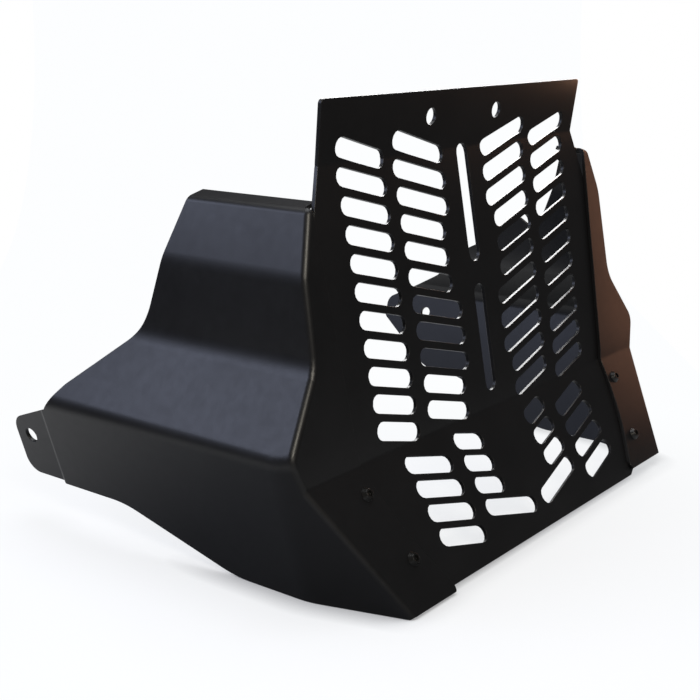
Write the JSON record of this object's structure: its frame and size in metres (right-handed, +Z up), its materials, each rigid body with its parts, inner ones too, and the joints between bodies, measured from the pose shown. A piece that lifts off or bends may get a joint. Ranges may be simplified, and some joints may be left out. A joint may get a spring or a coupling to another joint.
{
  "type": "engine skid plate",
  "caption": "Folded sheet-metal skid plate for a motorcycle engine: a slotted front grille screwed between two creased side wings with rear mounting holes",
  "frame": {"origin": "on the floor, under the middle of the bounding box", "axes": "+X towards the wing at the right of the picture, +Y to the rear, +Z up; the grille faces -Y"},
  "size_m": [0.4784, 0.3466, 0.3248],
  "materials": {
    "black_powder_coat": "satin black powder coat over aluminium sheet",
    "black_fastener": "satin black oxide on steel"
  },
  "bodies": {
    "root": {"grille_plate": "black_powder_coat", "left_wing": "black_powder_coat", "right_wing": "black_powder_coat", "flange_screws": "black_fastener", "lock_nuts": "black_fastener"}
  },
  "joints": []
}
